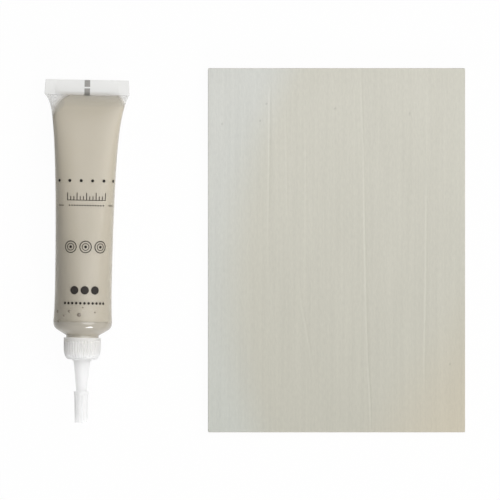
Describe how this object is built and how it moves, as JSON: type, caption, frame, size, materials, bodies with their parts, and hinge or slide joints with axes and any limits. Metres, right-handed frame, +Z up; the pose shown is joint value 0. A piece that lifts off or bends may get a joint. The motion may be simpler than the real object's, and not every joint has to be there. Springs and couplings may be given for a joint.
{
  "type": "wood repair paste kit",
  "caption": "Soft squeeze tube of wood repair paste with a ribbed screw collar, tapered spout and push-on tip cap, lying beside a flat sample board coated with the paste.",
  "frame": {"origin": "on the surface that the kit lies on, under the middle of the box round the tube and the board", "axes": "+X from the tube towards the board, +Y along the tube from its spout towards its seal, +Z up"},
  "size_m": [0.1382, 0.1196, 0.0189],
  "materials": {
    "clear_plastic": "translucent satin polyethylene",
    "paste": "smooth wet paste",
    "white_plastic": "satin moulded",
    "fibreboard": "raw fibreboard",
    "dry_coat": "brushed satin coat"
  },
  "bodies": {
    "tube": {"tube_sleeve": "clear_plastic", "tube_head": "clear_plastic", "paste_fill": "paste", "sample_board": "fibreboard", "sample_coat": "dry_coat"},
    "spout": {"nozzle_spout": "white_plastic"},
    "collar": {"screw_collar": "white_plastic"},
    "tip_cap": {"tip_cap": "white_plastic"}
  },
  "joints": [
    {"name": "nozzle_lift", "type": "slide", "parent": "tube", "child": "spout", "axis": [0, -1, 0], "range_m": [0, 0.0045]},
    {"name": "collar_turn", "type": "hinge", "parent": "spout", "child": "collar", "pos_m": [-0.05534, -0.0334, 0.0093], "axis": [0, -1, 0], "range_deg": [0, 1080]},
    {"name": "tip_cap_pull", "type": "slide", "parent": "spout", "child": "tip_cap", "axis": [0, -1, 0], "range_m": [0, 0.009]}
  ],
  "couplings": [
    {"joint": "collar_turn", "follows": "nozzle_lift", "rad_per_m": 4188.8}
  ]
}
